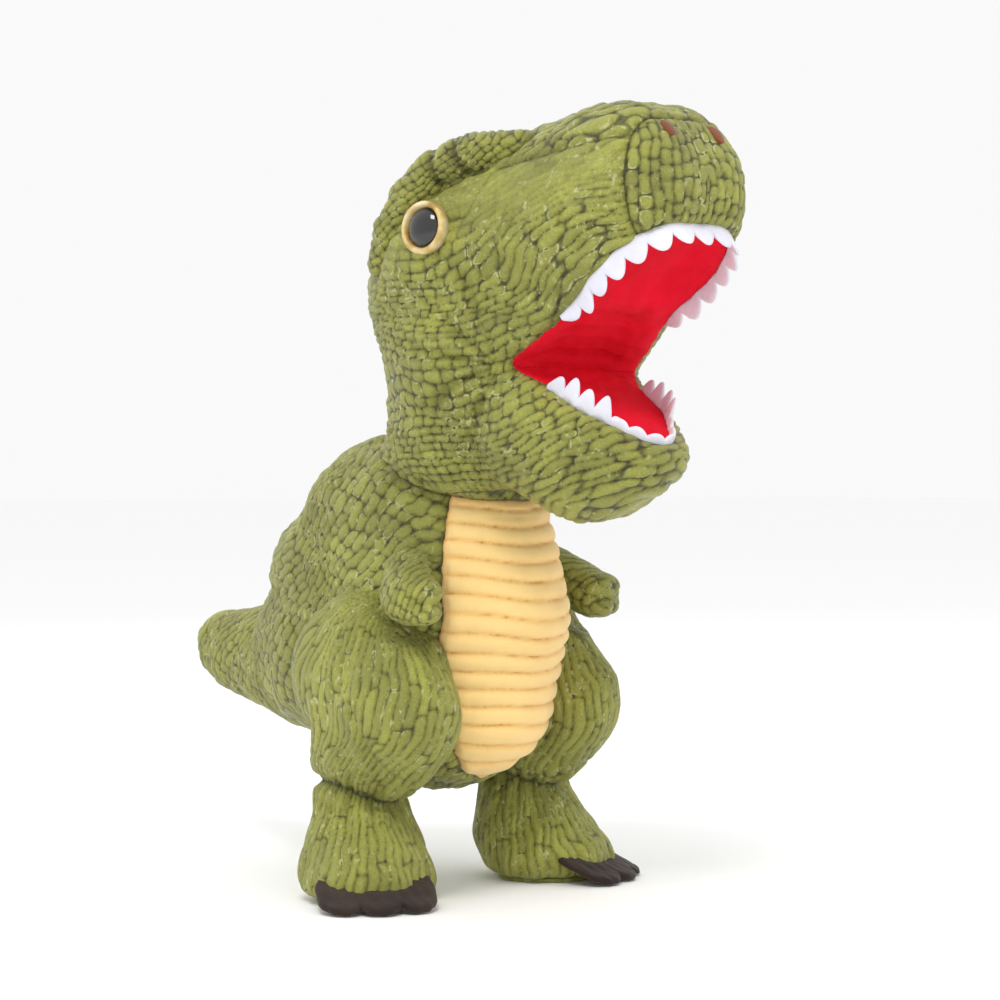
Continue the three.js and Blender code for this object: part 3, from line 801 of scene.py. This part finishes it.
def belly_relief(p):
    """Wide padded ribs with narrow sewn grooves between them."""
    level = p[:, 2] + 3.2 * (1.0 - (p[:, 0] / 36.0) ** 2) + 0.9 * wobble(p, 60.0, 61)
    turn = level / RIB_PITCH
    inside = 1.0 - np.abs(2.0 * (turn - np.floor(turn)) - 1.0)
    top = np.sqrt(np.clip(inside * (2.0 - inside), 0.0, 1.0))
    tone = hashed(np.floor(turn), turn * 0, 29)[:, 0]
    wrinkle = 0.25 * wobble(p, 12.0, 62)
    return 2.1 * top - 0.6 + wrinkle + 0.6 * wobble(p, 50.0, 63), top, tone


def seamed(relief, lines):
    """Lowers the relief into each sewn line and paints shade there by darkening the colour: lines is
    (distance to the line, depth, width).
    """
    height, top, tone = relief
    for line, depth, width in lines:
        fade = smooth(0.3, width * 1.4, np.abs(line))
        height = height * (0.25 + 0.75 * fade) - depth * bell(line, width)
        # painted shade along the sewn line
        top = top * (0.15 + 0.85 * smooth(0.0, width * 0.8, np.abs(line)))
    return height, top, tone


# ---- materials
# colours for crowns, middle and grooves; the groove colour is painted shade
GREEN = scaly_plush("green_scale_plush", (0.312, 0.316, 0.052), (0.206, 0.21, 0.025), (0.033, 0.033, 0.002))
BELLY = ribbed_plush("belly_plush")
RED = flat_cloth("mouth_fabric", (0.8, 0.004, 0.026), (0.6, 0.001, 0.012), 1500.0, sheen=0.0)
WHITE = flat_cloth("tooth_felt", (0.87, 0.87, 0.93), (0.68, 0.67, 0.78), 1900.0)
BROWN = flat_cloth("claw_felt", (0.05, 0.03, 0.022), (0.022, 0.012, 0.009), 1700.0, sheen=0.15)
RUST = flat_cloth("nostril_thread", (0.24, 0.07, 0.02), (0.12, 0.03, 0.01), 2200.0)
FIBRE = flat_cloth("fibre_stuffing", (0.85, 0.84, 0.8), (0.7, 0.69, 0.65), 600.0)
BAG = flat_cloth("pellet_bag_cloth", (0.75, 0.73, 0.66), (0.6, 0.58, 0.5), 1200.0)
WASHER = eye_ring("washer_plastic")
RING = eye_ring("eye_ring_plastic")
DOME = eye_gloss("eye_dome_plastic")


# ---- building the skins
SEAM_ALLOWANCE = 2.2


class Cloth:
    """A skin with its relief applied, ready to be cut into pieces."""

    def __init__(self, skin, relief):
        height, self.top, self.tone = relief
        self.skin, self.out = skin, skin.out
        self.points = skin.points + skin.out * height[:, None]

    def piece(self, name, quads, material):
        """A piece of these quads, with their cut edges turned inside as a seam allowance."""
        points, quads, source = hemmed(self.points, self.out, quads, SEAM_ALLOWANCE)
        # the turned-in seam allowance takes the darkest groove colour: painted shade in the seam's gap
        tops = np.where(np.arange(len(points)) < len(self.points), self.top[source], 0.0)
        return piece(name, points, quads, tops, self.tone[source], material)


def open_edges(quads):
    """The edges that only one quad uses, in that quad's direction."""
    edges = np.concatenate([quads[:, [i, (i + 1) % 4]] for i in range(4)])
    key = np.sort(edges, 1)
    _, where, counts = np.unique(key, axis=0, return_index=True, return_counts=True)
    return edges[where[counts == 1]]


def hemmed(points, out, quads, depth):
    """The quads with a narrow flange turned in all along their open edges."""
    edges = open_edges(quads)
    rim = np.unique(edges)
    number = np.full(len(points), -1)
    number[rim] = len(points) + np.arange(len(rim))
    extra = points[rim] - out[rim] * depth
    flange = np.stack([edges[:, 1], edges[:, 0], number[edges[:, 0]], number[edges[:, 1]]], -1)
    source = np.concatenate([np.arange(len(points)), rim])
    return np.concatenate([points, extra]), np.concatenate([quads, flange]), source


def finish_piece(obj, slot, nodes, fill=None, body=None):
    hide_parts(*nodes)
    if body is not None:
        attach(obj, body)
    return obj


def blended(obj):
    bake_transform(obj)


def with_jaw(obj):
    blended(obj)


def with_tail(obj):
    blended(obj)


def chosen_relief(p):
    """Blends the reliefs of the trunk, belly, head and muzzle by where each point is."""
    neck = neck_side(p)
    belly, cap = belly_side(p), cap_side(p)
    lining = lining_side(p)
    folds = wrinkled(p, neck, 22.0, 24.0, 81, 2.2)
    height, *look = seamed(trunk_relief(p), ((neck, 1.6, 3.0),))
    trunk = (height + folds, *look)
    ribs = seamed(belly_relief(p), ((neck, 1.0, 2.5),))
    height, *look = seamed(head_relief(p), ((neck, 1.6, 3.0), (top_seam(p), 1.1, 1.7)))
    head = mixed(smooth(-0.5, 0.5, cap), (height + folds, *look), cap_relief(p))
    head = seamed(head, ((cap, 1.3, 1.5),))
    body = mixed(smooth(-0.4, 0.4, belly), trunk, ribs)
    body = seamed(body, ((np.where(np.abs(p[:, 1] - BACK + 12.0) < 1.0, 9.0, belly), 1.5, 1.8),))
    whole = mixed(smooth(-0.5, 0.5, neck), body, head)
    puckers = 0.5 * wobble(p, 24.0, 91) + 0.25 * wobble(p, 9.0, 92)
    inside = (puckers, np.full(len(p), 0.6), np.full(len(p), 0.5))
    whole = seamed(whole, ((np.minimum(np.abs(lining), 9.0), 0.9, 1.6),))
    return mixed(smooth(-0.4, 0.4, lining), whole, inside)


def top_seam(p):
    """The sewn line that runs along the upper side of the snout, back to the brow."""
    q = folded(p)
    rise = (q[:, 1] - (BACK - 96.0)) * -0.06
    line = q[:, 2] - 324.0 - 2.0 * rise
    far = smooth(0.0, 10.0, (BACK - 96.0) - q[:, 1])
    return np.where(q[:, 0] > 20.0, line + (1.0 - far) * 20.0, 20.0)


NECK_MID = np.array([0.0, NECK[1], NECK[2]])


def band_side(p):
    """Above 0 on the part of the head that doesn't bend at the neck."""
    return along(p, NECK_MID, NECK_UP) - NECK_END


SEAMS = {"neck": neck_side, "belly": belly_side, "cap": cap_side, "lining": lining_side}
SPLITS = {**SEAMS, "jaw": jaw_side, "tail": lambda p: along(p, TAIL_START, TAIL_BACK), "band": band_side,
          "upper": lambda p: below_floor(p) - above_palate(p)}


def build_body():
    """The whole body's cloth, and the quads on the far side of each line that cuts it."""
    skin = Skin(body_field, (-66, -196, 40), (66, 190, 356))
    for side in SEAMS.values():
        skin.split(side)
    middles = skin.points[skin.quads].mean(1)
    sides = {name: side(middles) > 0 for name, side in SPLITS.items()}
    return Cloth(skin, chosen_relief(skin.points)), sides


BODY_FILL = 0.75


def body_pieces():
    """The pieces of the body's cloth. neck_skin is the part of head_skin between the neck's crease and the
    band: it has no CAD node.
    """
    cloth, on = build_body()
    head, belly, lining = on["neck"], on["belly"], on["lining"]
    trunk, outer = ~head, head & ~lining
    high = outer & ~on["jaw"]
    face = high & on["band"]
    parts = {
        "torso_skin": trunk & ~belly & ~on["tail"],
        "belly_panel": trunk & belly,
        "tail_skin": trunk & ~belly & on["tail"],
        "neck_skin": high & ~on["band"],
        "muzzle_cap": face & on["cap"],
        "head_skin": face & ~on["cap"],
        "jaw_skin": outer & on["jaw"],
        "palate_lining": head & lining & ~on["upper"],
        "jaw_lining": head & lining & on["upper"],
    }
    red = (RED, "mouth_fabric")
    others = {"belly_panel": (BELLY, "belly_plush"), "palate_lining": red, "jaw_lining": red}
    made = {}
    for name, chosen in parts.items():
        material, slot = others.get(name, (GREEN, "green_scale_plush"))
        obj = cloth.piece(name, cloth.skin.quads[chosen], material)
        made[name] = finish_piece(obj, slot, [] if name == "neck_skin" else [name], BODY_FILL)
    for name in ("torso_skin", "belly_panel"):
        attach(made[name], "torso")
    for name in ("muzzle_cap", "head_skin", "palate_lining"):
        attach(made[name], "head")
    with_jaw(made["jaw_skin"])
    with_jaw(made["jaw_lining"])
    with_tail(made["tail_skin"])
    blended(made["neck_skin"])


# ---- limbs
def facing(quads, side):
    """The quads of a left side, turned round where they are mirrored to the right."""
    return quads if side > 0 else quads[:, ::-1]


class Half(Cloth):
    """One side's copy of a cloth that was made for the left side."""

    def __init__(self, cloth, side):
        self.points, self.out = cloth.points * [side, 1.0, 1.0], cloth.out * [side, 1.0, 1.0]
        self.top, self.tone, self.side = cloth.top, cloth.tone, side

    def piece(self, name, quads, material):
        return super().piece(name, facing(quads, self.side), material)


PLEATS_AT = (46.0, 8.0)  # heights of the gathers at the ankle and over the toes


def leg_cloth():
    """Thigh and foot in one skin, gathered at the ankle and over the toes."""
    skin = Skin(leg_field, (8, -80, 0.5), (92, 34, 146))
    skin.split(ankle_side)
    p = skin.points
    height, top, tone = seamed(leg_relief(p), ((ankle_side(p), 2.6, 3.2),))
    away = p[:, :2] - ANKLE
    turn = np.arctan2(away[:, 1], away[:, 0])
    pleat = np.maximum(np.sin(turn * 15.0 + 1.6 * wobble(p, 40.0, 82)), 0.0) ** 1.5
    height = height - 2.2 * pleat * bell(p[:, 2] - PLEATS_AT[0], 11.0)
    height = height - 1.6 * pleat * bell(p[:, 2] - PLEATS_AT[1], 9.0)
    side_seam = (p[:, 1] - (BACK - 40.0)) - 0.42 * (p[:, 2] - 92.0)
    outside = smooth(44.0, 52.0, p[:, 0]) * smooth(52.0, 60.0, p[:, 2])
    height = height - 1.2 * bell(side_seam, 1.6) * outside
    height = height * (0.2 + 0.8 * smooth(1.5, 6.0, p[:, 2]))
    return Cloth(skin, (height, top, tone))


def leg_pieces():
    cloth = leg_cloth()
    middles = cloth.skin.points[cloth.skin.quads].mean(1)
    thigh = ankle_side(middles) > 0
    for name, side in SIDES:
        half = Half(cloth, side)
        for part, chosen in (("thigh_skin", thigh), ("foot_skin", ~thigh)):
            obj = half.piece(f"{part}_{name}", cloth.skin.quads[chosen], GREEN)
            finish_piece(obj, "green_scale_plush", [f"{part}_{name}"], 0.8, f"leg_{name}")


def paired_pieces(part, field, low, high, relief_of, body_of):
    """A stuffed form that is closed by itself, on each side."""
    skin = Skin(field, low, high, STEP * 0.8)
    cloth = Cloth(skin, relief_of(skin.points))
    for name, side in SIDES:
        obj = Half(cloth, side).piece(f"{part}_{name}", cloth.skin.quads, GREEN)
        finish_piece(obj, "green_scale_plush", [f"{part}_{name}"], 0.85, body_of(name))


def brow_relief(p):
    """Scales on the roll over each eye, which its stitches pinch twice; the pinches are painted darker as
    shade.
    """
    a = p[:, 2] - p[:, 1] + wandering(p, 30.0, 1.5, 33)
    b = p[:, 2] + 0.4 * p[:, 1] + 0.8 * p[:, 0] + wandering(p, 30.0, 1.5, 35)
    crown, top, tone = bricks(a, b, *BROW_SCALE, 5)
    height = 0.8 * crown + 0.5 * wobble(p, 20.0, 34)
    for at in (BACK - 72.0, BACK - 84.0):
        pinch = bell(p[:, 1] - at - 0.3 * (p[:, 2] - 334.0), 2.2)
        # painted shade in each stitch pinch
        height, top = height - 2.2 * pinch, top * (1.0 - 0.8 * pinch)
    return height, top, tone


# ---- turned parts
def welded(obj):
    """The piece with its coincident points joined, such as a turned part's poles."""
    mesh = bmesh.new()
    mesh.from_mesh(obj.data)
    bmesh.ops.remove_doubles(mesh, verts=mesh.verts, dist=1e-6)
    mesh.to_mesh(obj.data)
    mesh.free()
    return obj


TURNED = [0, 3, 2, 1]  # a quad's corners the other way round


def between_rings(count, around):
    """The quads between each ring of points and the next."""
    number = np.arange(count * around).reshape(count, around)
    a, b = number[:-1], number[1:]
    return np.stack([a, np.roll(a, -1, 1), np.roll(b, -1, 1), b], -1).reshape(-1, 4)


def lathe(name, profile, centre, axis, material, around=96, oval=1.0):
    """A body turned from (radius, height) points, closed where a radius is 0."""
    axis = unit(np.asarray(axis, float))
    across = unit(np.cross([0.0, 0.0, 1.0], axis))
    up = np.cross(axis, across)
    turns = np.linspace(0.0, 2.0 * math.pi, around, endpoint=False)
    rings = [centre + axis * h + r * (np.cos(turns)[:, None] * across + np.sin(turns)[:, None] * up * oval)
             for r, h in profile]
    return welded(piece(name, np.concatenate(rings), between_rings(len(rings), around), material=material))


def arc(middle, radius, start, end, count):
    turns = np.radians(np.linspace(start, end, count))
    return [(middle[0] + radius[0] * math.cos(t), middle[1] + radius[1] * math.sin(t)) for t in turns]


def node_middle(name):
    low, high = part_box(name)
    return (np.array(low) + np.array(high)) / 2.0 / MM


FACING = np.array([1.0, -0.2, 0.08])
RING_RADIUS, PUPIL_RADIUS = 11.7, 9.5


def eye_pieces():
    for name, side in SIDES:
        axis = unit(FACING * [side, 1.0, 1.0])
        middle = node_middle(f"eye_pupil_{name}")
        ring = [(PUPIL_RADIUS - 1.0, -3.0), (PUPIL_RADIUS - 0.6, 0.6)]
        ring += arc((10.45, 0.8), (1.25, 1.6), 165.0, -10.0, 14)
        ring += [(RING_RADIUS, -3.0), (PUPIL_RADIUS - 1.0, -3.0)]
        dome = [(0.0, -2.4), (PUPIL_RADIUS - 1.4, -2.4)]
        dome += arc((0.0, -2.2), (PUPIL_RADIUS, 6.2), 8.0, 90.0, 24)
        washer = [(3.4, 0.8), (8.8, 0.8), (9.0, 0.5), (9.0, -0.5), (8.8, -0.8), (3.4, -0.8), (3.4, 0.8)]
        parts = (("eye_rim", ring, middle, RING, "eye_ring_plastic"),
                 ("eye_pupil", dome, middle, DOME, "eye_dome_plastic"),
                 ("eye_washer", washer, node_middle(f"eye_washer_{name}"), WASHER, "washer_plastic"))
        for part, profile, at, material, slot in parts:
            obj = lathe(f"{part}_{name}", profile[::-1], at, axis, material)
            finish_piece(obj, slot, [f"{part}_{name}"], body="head")


def nostril_pieces():
    """A small slanting patch of satin stitches on each side of the muzzle's end."""
    for name, _ in SIDES:
        at = settled(head_field, node_middle(f"nostril_{name}")[None], 6)
        out = unit(gradient(head_field, at))[0]
        patch = [(0.0, 1.9)] + arc((0.0, 0.4), (3.4, 1.5), 80.0, 0.0, 10) + [(3.4, -1.5)]
        obj = lathe(f"nostril_{name}", patch[::-1], at[0], out, RUST, 64, 1.55)
        finish_piece(obj, "nostril_embroidery", [f"nostril_{name}"], body="head")


# ---- teeth
FELT = 2.0
TOOTH_STEPS = 14
TOOTH_INSET = 1.2


def lip_path(run, begin, round_at):
    """Points along the inside of the lip, from the left corner of the mouth round to the right.

    run is the lip's direction to the front. begin is how far along it the teeth start, and round_at where
    the lip's round end does."""
    side = np.array([1.0, 0.0, 0.0])
    starts = [(t, side) for t in np.linspace(begin, round_at, 40)]
    turns = np.linspace(0.0, math.pi / 2, 40)[1:]
    starts += [(round_at, math.cos(a) * side + math.sin(a) * run) for a in turns]
    path = []
    for t, way in starts:
        origin = CORNER_MID + run * t
        reach = np.linspace(0.0, 90.0, 181)
        depth = full_head(origin + reach[:, None] * way)
        path.append(origin + way * reach[np.argmax(depth > -TOOTH_INSET)])
    path = np.array(path)
    right = path[::-1] * [-1.0, 1.0, 1.0]
    return np.concatenate([path, right[1:]])


def evenly(path, count):
    """count points at even distances along a path."""
    steps = np.concatenate([[0.0], np.cumsum(norm(np.diff(path, axis=0)))])
    for _ in range(2):
        path = np.concatenate([path[:1], (path[:-2] + 2 * path[1:-1] + path[2:]) / 4.0, path[-1:]])
    at = np.linspace(0.0, steps[-1], count)
    return np.stack([np.interp(at, steps, path[:, i]) for i in range(3)], -1), steps[-1]


def tooth_strip(name, path, tips, height, root, pitch, falling=lambda t: 1.0):
    """A strip of felt cut into rounded points, standing along the path towards tips."""
    _, length = evenly(path, 10)
    teeth = max(3, round(length / pitch))
    path, _ = evenly(path, teeth * TOOTH_STEPS + 1)
    ahead = unit(np.gradient(path, axis=0))
    outward = unit(np.cross(ahead, tips))
    turn = (np.arange(len(path)) % TOOTH_STEPS) / TOOTH_STEPS * 2.0 - 1.0
    rng = np.random.default_rng(teeth)
    sizes = np.repeat(rng.uniform(0.9, 1.1, teeth), TOOTH_STEPS)
    tall = 2.4 + height * np.append(sizes, 1.0) * (1.0 - np.abs(turn) ** 2.1)
    ends = np.minimum(1.0, np.minimum(np.arange(len(path)), np.arange(len(path))[::-1]) / (TOOTH_STEPS * 1.2))
    tall = tall * (0.35 + 0.65 * ends) * falling(np.linspace(-1.0, 1.0, len(path)))
    loop = []
    for v in (0.0, 0.3, 0.55, 0.75, 0.9, 0.975, 1.0):
        loop.append((v, 0.5 * FELT * math.sqrt(max(0.0, 1.0 - v**6))))
    loop += [(v, -t) for v, t in loop[-2::-1]]
    rings = [path - tips * root + tips * ((tall + root) * v)[:, None] + outward * t for v, t in loop]
    points = np.stack(rings, 1)
    quads = between_rings(*points.shape[:2])[:, TURNED]
    return piece(name, points.reshape(-1, 3), quads, material=WHITE), length


def teeth_pieces():
    """Each strip's flat length is its lip's; its flat area is that length times the strip's mean height."""
    path = lip_path(np.array([0.0, *UPPER_RUN]), begin=33.0, round_at=64.0)
    strip, length = tooth_strip("upper_teeth", path, -UPPER_UP, height=6.2, root=3.0, pitch=11.5)
    finish_piece(strip, "tooth_felt", ["upper_teeth"])
    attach(strip, "head")
    path = lip_path(np.array([0.0, *LOWER_RUN]), begin=17.0, round_at=44.0)
    strip, length = tooth_strip("lower_teeth", path, -LOWER_DOWN, height=7.2, root=2.6, pitch=8.8,
                                falling=lambda t: 0.3 + 0.7 * smooth(0.36, 0.52, np.abs(t)))
    finish_piece(strip, "tooth_felt", ["lower_teeth"])
    with_jaw(strip)


# ---- claws and soles
CLAW_FALL = 0.45
CLAW_LENGTH = 12.5
CLAW_LOBES = ((-17.0, 9.6), (0.5, 10.6), (18.0, 9.6))


def claw_field(p):
    """One flat piece of felt with three rounded lobes, sloping from the foot to the floor."""
    q = folded(p) - [FOOT_CENTRE[0], FOOT_CENTRE[1], 0.0]
    u, v = q @ ACROSS_FOOT, q @ TOE
    out = v - 34.0 + 0.011 * u * u
    plate = np.maximum(np.maximum(np.abs(u) - 25.5, out - 7.5), -out - 8.0)
    for middle, half in CLAW_LOBES:
        across, ahead = np.abs((u - middle) / half), np.abs((out - 2.0) / CLAW_LENGTH)
        lobe = (across**2.4 + ahead**2.4) ** (1 / 2.4) - 1.0
        plate = soft_min(plate, lobe * half * 0.9, 0.6)
    level = 8.2 - out * CLAW_FALL
    thick = np.abs(q[:, 2] - np.maximum(level, 1.9)) - 1.45
    return soft_max(plate, thick, 1.4)


def claw_pieces():
    skin = Skin(claw_field, (18, -98, -1), (112, -14, 20), STEP * 0.75)
    even = np.ones(len(skin.points))
    cloth = Cloth(skin, (0.25 * wobble(skin.points, 7.0, 95), even, even))
    for name, side in SIDES:
        obj = Half(cloth, side).piece(f"claws_{name}", cloth.skin.quads, BROWN)
        finish_piece(obj, "claw_felt", [f"claws_{name}"], body=f"leg_{name}")


SOLE_INSET = 4.5
SOLE_PROFILE = ((0.0, 0.0), (0.6, 0.0), (0.95, 0.0), (0.985, 0.25), (1.0, 1.1), (0.985, 2.0), (0.95, 2.2),
                (0.0, 2.2))


def sole_pieces():
    around = 96
    turns = np.linspace(0.0, 2.0 * math.pi, around, endpoint=False)
    _, wide, long = foot_shape(np.array([2.0]))
    reach = long - SOLE_INSET - HEEL_TUCK * smooth(0.1, 1.0, -np.sin(turns))
    edge = np.cos(turns)[:, None] * ACROSS_FOOT * (wide - SOLE_INSET) + (np.sin(turns) * reach)[:, None] * TOE
    rings = [edge * scale + [*FOOT_CENTRE, z] for scale, z in SOLE_PROFILE]
    quads = between_rings(len(rings), around)[:, TURNED]
    even = np.ones(around * len(rings))
    for name, side in SIDES:
        points = np.concatenate(rings) * [side, 1.0, 1.0]
        obj = welded(piece(f"foot_sole_{name}", points, facing(quads, side), 0.7 * even, 0.5 * even, GREEN))
        finish_piece(obj, "green_scale_plush", [f"foot_sole_{name}"], body=f"leg_{name}")


# ---- fillings
FILLING_STEP = 4.0


def filling(name, field, low, high, slot, material, fill, side, body):
    """Lumpy stuffing well inside its skin."""
    skin = Skin(field, low, high, FILLING_STEP)
    even = np.ones(len(skin.points))
    cloth = Cloth(skin, (wobble(skin.points, 22.0, 97) - 0.3, even, even))
    obj = Half(cloth, side).piece(name, cloth.skin.quads, material)
    return finish_piece(obj, slot, [name], fill, body)


def within(depth, field, *limits):
    """The field drawn in by a depth, and cut by limits that are each (a field kept below 0, how softly)."""
    def drawn_in(p):
        inner = field(p) + depth
        for limit, softness in limits:
            inner = soft_max(inner, limit(p), softness)
        return inner
    return drawn_in


def fibre(name, field, low, high, fill=0.7, side=1.0, body=None):
    return filling(name, field, low, high, "fibre_stuffing", FIBRE, fill, side, body)


def filling_pieces():
    trunk = within(7.0, lambda p: nearest(p, TRUNK_CHAIN), (lambda p: 9.0 - full_head(p), 3.0),
                   (lambda p: 9.0 - nearest(p, TAIL_CHAIN), 3.0))
    fibre("torso_stuffing", trunk, (-50, -80, 40), (50, 100, 215), body="torso")
    skull = within(7.0, head_field, (lambda p: 20.0 - along(p, NECK_MID, NECK_UP), 3.0),
                   (lambda p: soft_min(jaw_side(p), 60.0, 1.0) + 6.0, 3.0))
    fibre("head_stuffing", skull, (-66, -196, 170), (66, 10, 356), body="head")
    chin = within(7.0, head_field, (lambda p: 6.0 - jaw_side(p), 3.0))
    with_jaw(fibre("jaw_stuffing", chin, (-50, -180, 165), (50, -90, 245)))
    tail = within(7.0, lambda p: nearest(p, TAIL_CHAIN),
                  (lambda p: 4.0 - along(p, TAIL_START, TAIL_BACK), 3.0))
    with_tail(fibre("tail_stuffing", tail, (-42, 40, 55), (42, 190, 140)))
    arm = within(4.0, arm_field)
    thigh = within(7.0, leg_field, (lambda p: 5.0 - trunk_field(p), 3.0), (lambda p: 54.0 - p[:, 2], 3.0))
    bag = within(6.0, foot_field, (lambda p: p[:, 2] - 42.0, 3.0), (lambda p: 7.0 - p[:, 2], 2.0))
    for name, side in SIDES:
        fibre(f"arm_stuffing_{name}", arm, (24, -86, 112), (76, -24, 172), 0.8, side, f"arm_{name}")
        fibre(f"thigh_stuffing_{name}", thigh, (8, -80, 50), (92, 34, 146), 0.75, side, f"leg_{name}")
        filling(f"foot_pellet_bag_{name}", bag, (8, -80, 0), (96, 34, 60), "pellet_bag", BAG, 0.7, side,
                f"leg_{name}")


body_pieces()
leg_pieces()
paired_pieces("arm_skin", arm_field, (24, -86, 112), (76, -24, 172), arm_relief, lambda name: f"arm_{name}")
paired_pieces("brow", brow_field, (18, -124, 272), (78, -20, 356), brow_relief, lambda name: "head")
eye_pieces()
nostril_pieces()
teeth_pieces()
claw_pieces()
sole_pieces()
filling_pieces()
make_studio()
